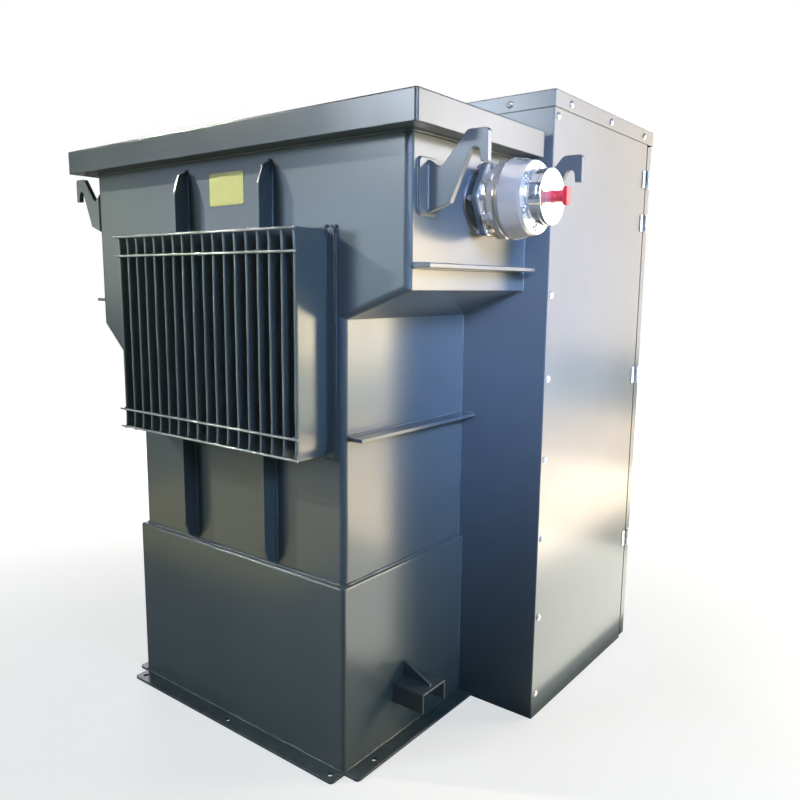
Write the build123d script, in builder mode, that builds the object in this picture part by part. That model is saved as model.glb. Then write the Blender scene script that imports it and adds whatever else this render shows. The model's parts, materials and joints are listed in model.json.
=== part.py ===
"""Oil-filled power transformer with a stepped, welded tank, a finned cooler on
its front wall and a terminal cabinet with two doors on its rear.

Millimetres.  +Z is up, the cooler faces -Y, the relief device faces +X and the
cabinet doors face +Y.  The origin is on the ground under the middle of the tank.
"""
import os

from build123d import *

os.makedirs("parts", exist_ok=True)

# ------------------------------------------------------------ driving dimensions
Y_FRONT = -297.0          # outer face of the tank's front wall
Y_PLATE = 297.0           # tank side of the plate between tank and cabinet
WALL = 6.0                # tank sheet
BEND = 18.0               # outside radius of the tank's folded corners

# base
BASE_T = 8.0
BASE_FRONT_Y = -371.0
BASE_SIDE_X = 537.0
BASE_STRIP_X = 484.0
BOLT_R = 9.0
FRONT_HOLE_X, FRONT_HOLE_Y = 455.0, -344.0
SIDE_HOLE_X, SIDE_HOLE_Y = 509.0, -207.0

# lower box of the tank
LOW_X, LOW_XL = 481.0, 494.0     # right and left side
LOW_FRONT_Y = -314.0
LOW_TOP = 574.0

# narrow middle and flared top of the tank
MID_X, MID_XL = 468.0, 478.0
UP_X, UP_XL = 685.0, 696.0
FLARE_R0, FLARE_R1 = 1332.0, 1413.0      # right flare, foot and head
FLARE_L0, FLARE_L1 = 1075.0, 1280.0      # left flare, foot and head
TANK_TOP = 1873.0

# lid and the rim under it
LID_X, LID_XL = 755.0, 760.0
LID_Y0, LID_Y1 = -367.0, 276.0
LID_Z0, LID_Z1 = 1802.0, 1878.0
LID_T = 5.0
RIM_T = 10.0

# front ribs
RIB_X, RIB_T, RIB_D = 191.0, 10.0, 50.0
RIB_Z0, RIB_Z1 = 585.0, 1769.0

# cooler
FIN_N, FIN_PITCH, FIN_T = 18, 46.5, 9.0
FIN_X0 = -386.0
FIN_Z0, FIN_Z1 = 949.0, 1574.0
FIN_FRONT_Y = -421.0
PANEL_T = 6.0
PANEL_X0, PANEL_X1 = -421.0, 440.0
PANEL_Z0, PANEL_Z1 = 945.0, 1577.0
ROD_R = 3.5
ROD_Z = (955.0, 1013.0, 1511.0, 1571.0)
ROD_X0, ROD_X1 = -410.0, 416.0

# lifting hooks
HOOK_T = 16.0
HOOK_FRONT_Y = -232.0      # front face of the front right hook
HOOK_LEFT_Y = -286.0       # front face of the front left hook
HOOK_REAR_Y = 277.0        # front face of the rear pair
PAD_T = 8.0
HOOK_PTS = [(693, 1737), (731, 1712), (807, 1797), (865, 1797), (866, 1719), (846, 1720),
            (837.8, 1796), (760, 1628), (693, 1607)]
HOOK_ROUND = {1: 14.0, 2: 18.0, 3: 10.0, 6: 15.0}     # corner number and its radius
HOOK_REAR_PTS = [(x + (8 if x > 700 else 0), z + 5) for x, z in HOOK_PTS]
HOOK_LEFT_PTS = [(-(UP_XL + PAD_T) - 0.86 * (x - 693), z) for x, z in HOOK_PTS]

# flat-bar stiffeners on the side walls
BAR_W, BAR_WL, BAR_T = 56.0, 53.0, 10.0
BAR_Y0 = -285.0
BAR_UP_Y1 = 268.0          # rear end of the upper pair, short of the plate
BAR_Z_RIGHT, BAR_Z_LEFT, BAR_Z_MID = 1475.0, 1366.0, 1002.0

# jacking pads
JACK_X1 = 602.0
JACK_Y0, JACK_Y1 = -88.0, 33.0
JACK_Z0, JACK_Z1 = 133.0, 195.0
JACK_T = 6.0

# relief device, axis along +X
PRD_Y, PRD_Z = 32.0, 1658.0

# name plate place
LABEL_X, LABEL_Z0, LABEL_Z1 = 77.0, 1659.0, 1755.0

# cabinet
CAB_X = 772.0
CAB_TOP = 2000.0
CAB_SHEET = 3.0
PLATE_T = 6.0
PLATE_FLANGE = 40.0        # inner flange of the plate that takes the side panels' screws
SIDE_Y1 = 1066.0
ROOF_SKIRT = 50.0
ROOF_X = 775.0
ROOF_Y0, ROOF_Y1 = 294.0, 1113.0
DOOR_Y0, DOOR_Y1 = 1072.0, 1110.0
DOOR_Z0, DOOR_Z1 = 10.0, 1944.0
DOOR_GAP = 6.0
HINGE_X, HINGE_Y = 780.0, 1069.0
HINGE_R, PIN_R, PIN_PLAY = 7.0, 3.0, 0.06
HINGE_H = 62.0
HINGE_Z = (432.0, 1091.0, 1665.0, 1824.0)


def save(part, name):
    part.label = name
    export_step(part, "parts/" + name + ".step")


# ------------------------------------------------------------ base plate
with BuildPart() as base_plate:
    with BuildSketch(Plane.XY):
        with Locations((0, (BASE_FRONT_Y + Y_PLATE) / 2)):
            Rectangle(2 * BASE_STRIP_X, Y_PLATE - BASE_FRONT_Y)
        with Locations((0, (LOW_FRONT_Y + Y_PLATE) / 2)):
            Rectangle(2 * BASE_SIDE_X, Y_PLATE - LOW_FRONT_Y)
    extrude(amount=BASE_T)
    front_corners = base_plate.edges().filter_by(Axis.Z).group_by(Axis.Y)[0]
    fillet(front_corners, radius=12)
    side_corners = [e for e in base_plate.edges().filter_by(Axis.Z)
                    if abs(abs(e.center().X) - BASE_SIDE_X) < 1 and e.center().Y < 0]
    fillet(side_corners, radius=12)
    with Locations((-FRONT_HOLE_X, FRONT_HOLE_Y, BASE_T), (0, FRONT_HOLE_Y, BASE_T),
                   (FRONT_HOLE_X, FRONT_HOLE_Y, BASE_T),
                   (-SIDE_HOLE_X, SIDE_HOLE_Y, BASE_T), (SIDE_HOLE_X, SIDE_HOLE_Y, BASE_T)):
        Hole(radius=BOLT_R)
save(base_plate.part, "base_plate")

# ------------------------------------------------------------ tank, lower box
with BuildPart() as lower_tank:
    with BuildSketch(Plane.XY.offset(BASE_T)):
        with Locations(((LOW_X - LOW_XL) / 2, (LOW_FRONT_Y + Y_PLATE) / 2)):
            Rectangle(LOW_X + LOW_XL, Y_PLATE - LOW_FRONT_Y)
    extrude(amount=LOW_TOP - BASE_T)
    fillet(lower_tank.edges().filter_by(Axis.Z).group_by(Axis.Y)[0], radius=12)
    top_rim = lower_tank.faces().sort_by(Axis.Z)[-1].edges()
    fillet([e for e in top_rim if e.center().Y < Y_PLATE - 1], radius=8)
    with BuildSketch(Plane.XY.offset(BASE_T)):
        with Locations(((LOW_X - LOW_XL) / 2, (LOW_FRONT_Y + WALL + Y_PLATE) / 2)):
            Rectangle(LOW_X + LOW_XL - 2 * WALL, Y_PLATE - LOW_FRONT_Y - WALL)
    extrude(amount=LOW_TOP - BASE_T - WALL, mode=Mode.SUBTRACT)
    with BuildSketch(Plane.XY.offset(LOW_TOP - WALL)):
        with Locations(((MID_X - MID_XL) / 2, (Y_FRONT + WALL + Y_PLATE) / 2)):
            Rectangle(MID_X + MID_XL - 2 * WALL, Y_PLATE - Y_FRONT - WALL)
    extrude(amount=WALL, mode=Mode.SUBTRACT)
save(lower_tank.part, "lower_tank")

# ------------------------------------------------------------ tank, middle and flared top
# The two parts meet on the lines that halve the angle at each flare's foot, so
# that the folded corners run on without a step.
MITRE = (338.0, 1422.0)
front_plane = Plane.XZ.offset(-Y_FRONT)      # its normal points to -Y

# inside of the sheet
with BuildPart() as tank_space:
    with BuildSketch(Plane.XZ.offset(-Y_PLATE)):
        with BuildLine():
            Polyline((-MID_XL, 400), (-MID_XL, FLARE_L0), (-UP_XL, FLARE_L1), (-UP_XL, 2100),
                     (UP_X, 2100), (UP_X, FLARE_R1), (MID_X, FLARE_R0), (MID_X, 400), close=True)
        make_face()
        offset(amount=-WALL, kind=Kind.INTERSECTION, mode=Mode.REPLACE)
    extrude(amount=Y_PLATE - Y_FRONT - WALL)

with BuildPart() as mid_tank:
    with BuildSketch(Plane.XZ.offset(-Y_PLATE)):
        with BuildLine():
            Polyline((-MID_XL, LOW_TOP), (-MID_XL, FLARE_L0), MITRE, (MID_X, FLARE_R0),
                     (MID_X, LOW_TOP), close=True)
        make_face()
    extrude(amount=Y_PLATE - Y_FRONT)
    fillet(mid_tank.edges().filter_by(Axis.Z).group_by(Axis.Y)[0], radius=BEND)
    add(tank_space.part, mode=Mode.SUBTRACT)
save(mid_tank.part, "mid_tank")

with BuildPart() as upper_tank:
    with BuildSketch(Plane.XZ.offset(-Y_PLATE)):
        with BuildLine():
            Polyline((-MID_XL, FLARE_L0), (-UP_XL, FLARE_L1), (-UP_XL, TANK_TOP), (UP_X, TANK_TOP),
                     (UP_X, FLARE_R1), (MID_X, FLARE_R0), MITRE, close=True)
        make_face()
    extrude(amount=Y_PLATE - Y_FRONT)
    front_edges = upper_tank.faces().sort_by(Axis.Y)[0].edges()
    folded = [e for e in front_edges if abs(e.center().X) > MID_XL + 5]
    fillet(folded, radius=BEND)
    add(tank_space.part, mode=Mode.SUBTRACT)
save(upper_tank.part, "upper_tank")

# ------------------------------------------------------------ rim and lid
LID_MID, UP_MID = (LID_X - LID_XL) / 2, (UP_X - UP_XL) / 2
with BuildPart() as tank_rim:
    with BuildSketch(Plane.XY.offset(LID_Z0)):
        with Locations((LID_MID, (LID_Y0 + LID_T + 1 + LID_Y1 - 6) / 2)):
            Rectangle(LID_X + LID_XL - 2 * (LID_T + 1), LID_Y1 - 6 - LID_Y0 - LID_T - 1)
        with Locations((UP_MID, (Y_FRONT + LID_Y1) / 2)):
            Rectangle(UP_X + UP_XL, LID_Y1 - Y_FRONT, mode=Mode.SUBTRACT)
    extrude(amount=RIM_T)
save(tank_rim.part, "tank_rim")

with BuildPart() as lid:
    with BuildSketch(Plane.XY.offset(LID_Z0)):
        with Locations((LID_MID, (LID_Y0 + LID_Y1) / 2)):
            RectangleRounded(LID_X + LID_XL, LID_Y1 - LID_Y0, 8)
    extrude(amount=LID_Z1 - LID_Z0)
    fillet(lid.faces().sort_by(Axis.Z)[-1].edges(), radius=4)
    with BuildSketch(Plane.XY.offset(LID_Z0)):
        with Locations((LID_MID, (LID_Y0 + LID_Y1) / 2)):
            Rectangle(LID_X + LID_XL - 2 * LID_T, LID_Y1 - LID_Y0 - 2 * LID_T)
    extrude(amount=LID_Z1 - LID_Z0 - LID_T, mode=Mode.SUBTRACT)
    # the rear skirt is let in round the tank's side walls
    with BuildSketch(Plane.XY.offset(LID_Z0)):
        with Locations((UP_MID, LID_Y1 - LID_T / 2)):
            Rectangle(UP_X + UP_XL + 2, LID_T + 2)
    extrude(amount=LID_Z1 - LID_Z0 - LID_T, mode=Mode.SUBTRACT)
    # strip that closes the tank up to the plate
    with Locations((UP_MID, (LID_Y1 - 10 + Y_PLATE) / 2, LID_Z1 - LID_T / 2)):
        Box(UP_X + UP_XL, Y_PLATE - LID_Y1 + 10, LID_T)
save(lid.part, "lid")

# ------------------------------------------------------------ front ribs
for side, name in ((-1, "front_rib_left"), (1, "front_rib_right")):
    with BuildPart() as rib:
        with BuildSketch(Plane.YZ.offset(side * RIB_X - RIB_T / 2)):
            with BuildLine():
                Polyline((Y_FRONT, PANEL_Z1 + 1), (Y_FRONT, RIB_Z1), (Y_FRONT - 8, RIB_Z1),
                         (Y_FRONT - 32, RIB_Z1 - 11), (Y_FRONT - RIB_D, RIB_Z1 - 63),
                         (Y_FRONT - RIB_D, PANEL_Z1 + 1), close=True)
            make_face()
            with BuildLine():
                Polyline((Y_FRONT, RIB_Z0), (Y_FRONT, PANEL_Z0 - 1), (Y_FRONT - RIB_D, PANEL_Z0 - 1),
                         (Y_FRONT - RIB_D, RIB_Z0 + 56), (Y_FRONT - 34, RIB_Z0 + 11),
                         (Y_FRONT - 8, RIB_Z0), close=True)
            make_face()
        extrude(amount=RIB_T)
    save(rib.part, name)

# ------------------------------------------------------------ cooler
with BuildPart() as radiator_panel:
    with BuildSketch(front_plane):
        with Locations(((PANEL_X0 + PANEL_X1) / 2, (PANEL_Z0 + PANEL_Z1) / 2)):
            RectangleRounded(PANEL_X1 - PANEL_X0, PANEL_Z1 - PANEL_Z0, 5)
    extrude(amount=PANEL_T)
save(radiator_panel.part, "radiator_panel")

with BuildPart() as radiator_fins:
    with BuildSketch(Plane.XY.offset(FIN_Z0)):
        with Locations([(FIN_X0 + i * FIN_PITCH, (FIN_FRONT_Y + Y_FRONT - PANEL_T) / 2) for i in range(FIN_N)]):
            Rectangle(FIN_T, Y_FRONT - PANEL_T - FIN_FRONT_Y)
    extrude(amount=FIN_Z1 - FIN_Z0)
    fillet(radiator_fins.edges().filter_by(Axis.Z).group_by(Axis.Y)[0], radius=4)
save(radiator_fins.part, "radiator_fins")

with BuildPart() as radiator_rods:
    with BuildSketch(Plane.YZ.offset(ROD_X0)):
        with Locations([(FIN_FRONT_Y - ROD_R - 0.1, z) for z in ROD_Z]):
            Circle(ROD_R)
    extrude(amount=ROD_X1 - ROD_X0)
save(radiator_rods.part, "radiator_rods")

# ------------------------------------------------------------ lifting hooks
with BuildPart() as hook_front_right:
    with BuildSketch(Plane.XZ.offset(-HOOK_FRONT_Y)) as hook_front_right_outline:
        with BuildLine():
            Polyline(*HOOK_PTS, close=True)
        make_face()
        for corner, radius in HOOK_ROUND.items():
            fillet(hook_front_right_outline.vertices().sort_by_distance(HOOK_PTS[corner] + (0,))[0], radius=radius)
    extrude(amount=-HOOK_T)
save(hook_front_right.part, "lifting_hook_front_right")

with BuildPart() as hook_rear_right:
    with BuildSketch(Plane.XZ.offset(-HOOK_REAR_Y)) as hook_rear_right_outline:
        with BuildLine():
            Polyline(*HOOK_REAR_PTS, close=True)
        make_face()
        for corner, radius in HOOK_ROUND.items():
            fillet(hook_rear_right_outline.vertices().sort_by_distance(HOOK_REAR_PTS[corner] + (0,))[0], radius=radius)
    extrude(amount=-HOOK_T)
save(hook_rear_right.part, "lifting_hook_rear_right")

with BuildPart() as hook_front_left:
    with BuildSketch(Plane.XZ.offset(-HOOK_LEFT_Y)) as hook_front_left_outline:
        with BuildLine():
            Polyline(*HOOK_LEFT_PTS, close=True)
        make_face()
        for corner, radius in HOOK_ROUND.items():
            fillet(hook_front_left_outline.vertices().sort_by_distance(HOOK_LEFT_PTS[corner] + (0,))[0],
                   radius=0.86 * radius)
    extrude(amount=-HOOK_T)
save(hook_front_left.part, "lifting_hook_front_left")

with BuildPart() as hook_rear_left:
    mirror(hook_rear_right.part, about=Plane.YZ.offset(UP_MID))
save(hook_rear_left.part, "lifting_hook_rear_left")

with BuildPart() as hook_pads:
    with BuildSketch(Plane.YZ.offset(UP_X)):
        with Locations((HOOK_FRONT_Y + HOOK_T / 2, 1672)):
            RectangleRounded(86, 138, 14)
        with Locations((HOOK_REAR_Y + HOOK_T / 2 - 19, 1672)):
            RectangleRounded(54, 138, 10)
    extrude(amount=PAD_T)
    with BuildSketch(Plane.YZ.offset(-UP_XL)):
        with Locations((HOOK_LEFT_Y + 43, 1672)):
            RectangleRounded(86, 138, 14)
        with Locations((HOOK_REAR_Y + HOOK_T / 2 - 19, 1672)):
            RectangleRounded(54, 138, 10)
    extrude(amount=-PAD_T)
save(hook_pads.part, "hook_pads")

# ------------------------------------------------------------ side stiffeners
with BuildPart() as bar_right_upper:
    with Locations((UP_X + BAR_W / 2, (BAR_Y0 + BAR_UP_Y1) / 2, BAR_Z_RIGHT)):
        Box(BAR_W, BAR_UP_Y1 - BAR_Y0, BAR_T)
save(bar_right_upper.part, "stiffener_right_upper")

with BuildPart() as bar_left_upper:
    with Locations((-UP_XL - BAR_WL / 2, (BAR_Y0 + BAR_UP_Y1) / 2, BAR_Z_LEFT)):
        Box(BAR_WL, BAR_UP_Y1 - BAR_Y0, BAR_T)
save(bar_left_upper.part, "stiffener_left_upper")

with BuildPart() as bar_right_mid:
    with Locations((MID_X + BAR_W / 2, (BAR_Y0 + Y_PLATE) / 2, BAR_Z_MID)):
        Box(BAR_W, Y_PLATE - BAR_Y0, BAR_T)
save(bar_right_mid.part, "stiffener_right_mid")

with BuildPart() as bar_left_mid:
    mirror(bar_right_mid.part, about=Plane.YZ.offset((MID_X - MID_XL) / 2))
save(bar_left_mid.part, "stiffener_left_mid")

# ------------------------------------------------------------ jacking pads
with BuildPart() as jack_right:
    with BuildSketch(Plane.YZ.offset(LOW_X)):
        with Locations(((JACK_Y0 + JACK_Y1) / 2, (JACK_Z0 + JACK_Z1) / 2)):
            Rectangle(JACK_Y1 - JACK_Y0, JACK_Z1 - JACK_Z0)
        with Locations(((JACK_Y0 + JACK_Y1) / 2, (JACK_Z0 + JACK_Z1 - JACK_T) / 2)):
            Rectangle(JACK_Y1 - JACK_Y0 - 2 * JACK_T, JACK_Z1 - JACK_T - JACK_Z0, mode=Mode.SUBTRACT)
    extrude(amount=JACK_X1 - LOW_X)
    fillet([e for e in jack_right.edges().filter_by(Axis.X)
            if e.center().Z > JACK_Z1 - 1], radius=4)
    with BuildSketch(Plane.XZ.offset(-(JACK_Y0 + JACK_Y1) / 2 + 5)):
        with BuildLine():
            Polyline((LOW_X, JACK_Z1), (LOW_X, 246), (LOW_X + 14, 246), (JACK_X1 - 14, JACK_Z1 + 6),
                     (JACK_X1 - 14, JACK_Z1), close=True)
        make_face()
    extrude(amount=-10)
save(jack_right.part, "jacking_pad_right")

with BuildPart() as jack_left:
    mirror(jack_right.part, about=Plane.YZ.offset((LOW_X - LOW_XL) / 2))
save(jack_left.part, "jacking_pad_left")

# ------------------------------------------------------------ relief device
prd = Plane(origin=(UP_X, PRD_Y, PRD_Z), x_dir=(0, 1, 0), z_dir=(1, 0, 0))

with BuildPart() as relief_base:
    with BuildSketch(prd):
        Circle(80)
    extrude(amount=37)
    with BuildSketch(prd.offset(37)):
        Circle(112)
    extrude(amount=16)
save(relief_base.part, "relief_base")

with BuildPart() as relief_ring:
    with BuildSketch(prd.offset(53)):
        Circle(107)
    extrude(amount=59)
    chamfer(relief_ring.faces().sort_by(Axis.X)[-1].edges(), length=4)
save(relief_ring.part, "relief_ring")

with BuildPart() as relief_drum:
    with BuildSketch(Plane(origin=(UP_X, PRD_Y, PRD_Z), x_dir=(1, 0, 0), z_dir=(0, -1, 0))):
        with BuildLine():
            Polyline((112, 0), (112, 107.5), (118, 108.5), (163, 99), (167, 99), (177, 95.5), (177, 0), close=True)
        make_face()
    revolve(axis=Axis((UP_X, PRD_Y, PRD_Z), (1, 0, 0)))
save(relief_drum.part, "relief_drum")

with BuildPart() as relief_cap:
    with BuildSketch(prd.offset(177)):
        Circle(73.5)
    extrude(amount=45)
    fillet(relief_cap.faces().sort_by(Axis.X)[-1].edges(), radius=2)
save(relief_cap.part, "relief_cap")

with BuildPart() as relief_pin:
    with BuildSketch(prd.offset(222)):
        Circle(14)
    extrude(amount=33)
    with BuildSketch(prd.offset(255)):
        RectangleRounded(24, 47, 6)
    extrude(amount=12)
save(relief_pin.part, "relief_indicator_pin")

# ------------------------------------------------------------ plate on the front wall
with BuildPart() as label_plate:
    with BuildSketch(front_plane):
        with Locations((0, (LABEL_Z0 + LABEL_Z1) / 2)):
            RectangleRounded(2 * LABEL_X, LABEL_Z1 - LABEL_Z0, 8)
    extrude(amount=1.5)
save(label_plate.part, "label_plate")

# ------------------------------------------------------------ cabinet
with BuildPart() as back_plate:
    with Locations((0, Y_PLATE + PLATE_T / 2, (CAB_TOP - 4) / 2)):
        Box(2 * (CAB_X - CAB_SHEET), PLATE_T, CAB_TOP - 4)
    for side in (-1, 1):
        with Locations((side * (CAB_X - CAB_SHEET - PLATE_T / 2), Y_PLATE + PLATE_FLANGE / 2, (CAB_TOP - 4) / 2)):
            Box(PLATE_T, PLATE_FLANGE, CAB_TOP - 4)
save(back_plate.part, "cabinet_back_plate")

with BuildPart() as side_right:
    with BuildSketch(Plane.XY):
        with BuildLine():
            Polyline((CAB_X, Y_PLATE), (CAB_X, SIDE_Y1), (CAB_X - 32, SIDE_Y1), (CAB_X - 32, SIDE_Y1 - CAB_SHEET),
                     (CAB_X - CAB_SHEET, SIDE_Y1 - CAB_SHEET), (CAB_X - CAB_SHEET, Y_PLATE), close=True)
        make_face()
    extrude(amount=CAB_TOP - 4)
    outer = [e for e in side_right.edges().filter_by(Axis.Z) if e.center().X > CAB_X - 0.5]
    fillet(outer, radius=2.5)
save(side_right.part, "cabinet_side_right")

with BuildPart() as side_left:
    mirror(side_right.part, about=Plane.YZ)
save(side_left.part, "cabinet_side_left")

with BuildPart() as roof:
    with BuildSketch(Plane.XY.offset(CAB_TOP - ROOF_SKIRT)):
        with Locations((0, (ROOF_Y0 + ROOF_Y1) / 2)):
            RectangleRounded(2 * ROOF_X, ROOF_Y1 - ROOF_Y0, 3)
    extrude(amount=ROOF_SKIRT)
    fillet(roof.faces().sort_by(Axis.Z)[-1].edges(), radius=2.5)
    with BuildSketch(Plane.XY.offset(CAB_TOP - ROOF_SKIRT)):
        with Locations((0, (ROOF_Y0 + ROOF_Y1) / 2)):
            Rectangle(2 * ROOF_X - 6, ROOF_Y1 - ROOF_Y0 - 6)
    extrude(amount=ROOF_SKIRT - 4, mode=Mode.SUBTRACT)
save(roof.part, "cabinet_roof")

with BuildPart() as sill:
    with BuildSketch(Plane.YZ.offset(-(CAB_X - CAB_SHEET))):
        with BuildLine():
            Polyline((1000, 0), (1062, 0), (1062, 60), (1058, 60), (1058, 4), (1000, 4), close=True)
        make_face()
    extrude(amount=2 * (CAB_X - CAB_SHEET))
save(sill.part, "cabinet_sill")

# ------------------------------------------------------------ doors
with BuildPart() as door_right:
    with BuildSketch(Plane.XY.offset(DOOR_Z0)):
        with Locations(((DOOR_GAP / 2 + CAB_X) / 2, (DOOR_Y0 + DOOR_Y1) / 2)):
            Rectangle(CAB_X - DOOR_GAP / 2, DOOR_Y1 - DOOR_Y0)
    extrude(amount=DOOR_Z1 - DOOR_Z0)
    fillet(door_right.faces().sort_by(Axis.Y)[-1].edges(), radius=3)
    with BuildSketch(Plane.XZ.offset(-DOOR_Y0)):
        with Locations(((DOOR_GAP / 2 + CAB_X) / 2, (DOOR_Z0 + DOOR_Z1) / 2)):
            Rectangle(CAB_X - DOOR_GAP / 2 - 2 * CAB_SHEET, DOOR_Z1 - DOOR_Z0 - 2 * CAB_SHEET)
    extrude(amount=-(DOOR_Y1 - DOOR_Y0 - CAB_SHEET), mode=Mode.SUBTRACT)
save(door_right.part, "door_right")

with BuildPart() as door_left:
    mirror(door_right.part, about=Plane.YZ)
save(door_left.part, "door_left")

# hinges: the lower half of each knuckle and the pin belong to the frame leaf
with BuildPart() as hinge_frame_right:
    for zc in HINGE_Z:
        z0 = zc - HINGE_H / 2
        with BuildSketch(Plane.XY.offset(z0)):
            with Locations((CAB_X + 1.5, (1032 + HINGE_Y - 8.5) / 2)):
                Rectangle(3, HINGE_Y - 8.5 - 1032)
        extrude(amount=HINGE_H)
        with BuildSketch(Plane.XY.offset(z0)):
            with Locations((CAB_X + 1.5, HINGE_Y - 5)):
                Rectangle(3, 10)
            with Locations((HINGE_X, HINGE_Y)):
                Circle(HINGE_R)
        extrude(amount=HINGE_H / 2 - 1)
        with BuildSketch(Plane.XY.offset(zc - 1)):
            with Locations((HINGE_X, HINGE_Y)):
                Circle(PIN_R)
        extrude(amount=HINGE_H / 2 - 2)
save(hinge_frame_right.part, "hinge_frame_leaves_right")

with BuildPart() as hinge_frame_left:
    mirror(hinge_frame_right.part, about=Plane.YZ)
save(hinge_frame_left.part, "hinge_frame_leaves_left")

with BuildPart() as hinge_door_right:
    for zc in HINGE_Z:
        z0 = zc - HINGE_H / 2
        with BuildSketch(Plane.XY.offset(z0)):
            with Locations((CAB_X + 1.5, (HINGE_Y + 8.5 + 1106) / 2)):
                Rectangle(3, 1106 - HINGE_Y - 8.5)
        extrude(amount=HINGE_H)
        with BuildSketch(Plane.XY.offset(zc + 1)):
            with Locations((CAB_X + 1.5, HINGE_Y + 5)):
                Rectangle(3, 10)
            with Locations((HINGE_X, HINGE_Y)):
                Circle(HINGE_R)
                Circle(PIN_R + PIN_PLAY, mode=Mode.SUBTRACT)
        extrude(amount=HINGE_H / 2 - 1)
save(hinge_door_right.part, "hinge_door_leaves_right")

with BuildPart() as hinge_door_left:
    mirror(hinge_door_right.part, about=Plane.YZ)
save(hinge_door_left.part, "hinge_door_leaves_left")

with BuildPart() as handle:
    with BuildSketch(Plane.XZ.offset(-DOOR_Y1)):
        with Locations((58, 1060)):
            RectangleRounded(52, 170, 8)
    extrude(amount=-5)
    with BuildSketch(Plane.XZ.offset(-(DOOR_Y1 + 5))):
        with Locations((58, 1105)):
            Circle(14)
    extrude(amount=-22)
    with BuildSketch(Plane.XZ.offset(-(DOOR_Y1 + 19))):
        with Locations((58, 1062)):
            RectangleRounded(24, 126, 11)
    extrude(amount=-14)
save(handle.part, "door_handle")
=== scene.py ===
import json
import math

import bmesh
import bpy
import numpy as np
from mathutils import Matrix, Vector


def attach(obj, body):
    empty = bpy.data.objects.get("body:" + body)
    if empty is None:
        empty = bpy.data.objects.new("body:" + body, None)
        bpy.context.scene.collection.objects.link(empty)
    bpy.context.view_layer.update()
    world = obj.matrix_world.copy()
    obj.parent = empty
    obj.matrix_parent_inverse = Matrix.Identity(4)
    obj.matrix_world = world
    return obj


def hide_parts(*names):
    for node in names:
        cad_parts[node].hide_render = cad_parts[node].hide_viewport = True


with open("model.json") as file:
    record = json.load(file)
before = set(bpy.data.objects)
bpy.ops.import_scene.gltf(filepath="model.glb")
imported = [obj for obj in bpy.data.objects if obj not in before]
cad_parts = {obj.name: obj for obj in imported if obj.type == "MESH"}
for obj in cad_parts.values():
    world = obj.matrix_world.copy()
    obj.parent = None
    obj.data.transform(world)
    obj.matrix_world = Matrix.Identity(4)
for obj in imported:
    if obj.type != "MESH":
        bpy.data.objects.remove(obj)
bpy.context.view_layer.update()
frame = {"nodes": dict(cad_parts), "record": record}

MM = 0.001
scene = bpy.context.scene
nodes = frame["nodes"]

# ------------------------------------------------------------------ sizes shared with the part, in millimetres
Y_FRONT, Y_PLATE = -297.0, 297.0
LOW_X, LOW_XL, LOW_FRONT_Y, LOW_TOP = 481.0, 494.0, -314.0, 574.0
MID_X, MID_XL, UP_X, UP_XL = 468.0, 478.0, 685.0, 696.0
FLARE_R, FLARE_L = (1332.0, 1413.0), (1075.0, 1280.0)
RIM_Z = 1802.0
RIB_X, RIB_T = 191.0, 10.0
PANEL = (-421.0, 440.0, 945.0, 1577.0)
FIN_N, FIN_PITCH, FIN_T, FIN_X0 = 18, 46.5, 9.0, -386.0
FIN_Z0, FIN_Z1, FIN_NOSE_Y, FIN_ROOT_Y = 949.0, 1574.0, -421.0, -303.0
ROD_Z = (955.0, 1013.0, 1511.0, 1571.0)
PRD_Y, PRD_Z = 32.0, 1658.0
CAB_X, ROOF_X, ROOF_Y0 = 772.0, 775.0, 294.0
HINGE_Z = (432.0, 1091.0, 1665.0, 1824.0)


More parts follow.
